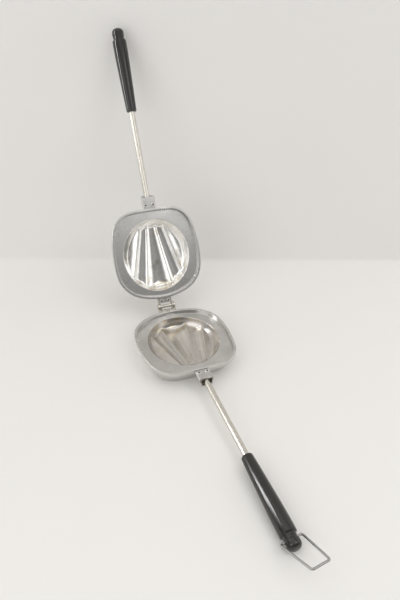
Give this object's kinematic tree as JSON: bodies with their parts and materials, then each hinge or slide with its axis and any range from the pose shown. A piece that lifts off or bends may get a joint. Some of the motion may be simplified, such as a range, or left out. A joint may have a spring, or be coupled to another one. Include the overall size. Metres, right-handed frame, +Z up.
{
  "type": "pie iron",
  "caption": "Hinged pie iron: two cast heads with shell-shaped cavities on long rod handles with moulded grips, kept shut by a wire loop.",
  "frame": {"origin": "on the plane of the lower head's flat base, below the middle of that head's length and width", "axes": "+Z up, -Y along the lower handle toward its grip, +X along the hinge pin, with the upper half open behind the hinge at +Y"},
  "size_m": [0.115, 0.5669, 0.3243],
  "materials": {
    "cast_aluminium": "cast and machined, satin",
    "handle_steel": "nickel plated, satin",
    "hinge_steel": "plated, satin",
    "rivet_metal": "bright",
    "spring_wire": "drawn wire, bright",
    "black_phenolic": "moulded, glossy"
  },
  "bodies": {
    "lower_half": {"lower_head": "cast_aluminium", "lower_handle_sleeve": "handle_steel", "lower_handle_rivets": "rivet_metal", "lower_shank": "handle_steel", "lower_grip": "black_phenolic", "lower_hinge_leaf": "hinge_steel", "lower_hinge_rivets": "rivet_metal", "hinge_pin": "hinge_steel"},
    "upper_half": {"upper_head": "cast_aluminium", "upper_handle_sleeve": "handle_steel", "upper_handle_rivets": "rivet_metal", "upper_shank": "handle_steel", "upper_grip": "black_phenolic", "upper_hinge_leaf": "hinge_steel", "upper_hinge_rivets": "rivet_metal"},
    "latch_loop": {"latch_loop": "spring_wire"}
  },
  "joints": [
    {"name": "head_hinge", "type": "hinge", "parent": "lower_half", "child": "upper_half", "pos_m": [0, 0.0687, 0.024], "axis": [1, 0, 0], "range_deg": [0, 119]},
    {"name": "loop_swing", "type": "hinge", "parent": "lower_half", "child": "latch_loop", "pos_m": [0, -0.2713, 0.00839], "axis": [-0.9903, -0.1392, 0], "range_deg": [-35, 65]}
  ]
}
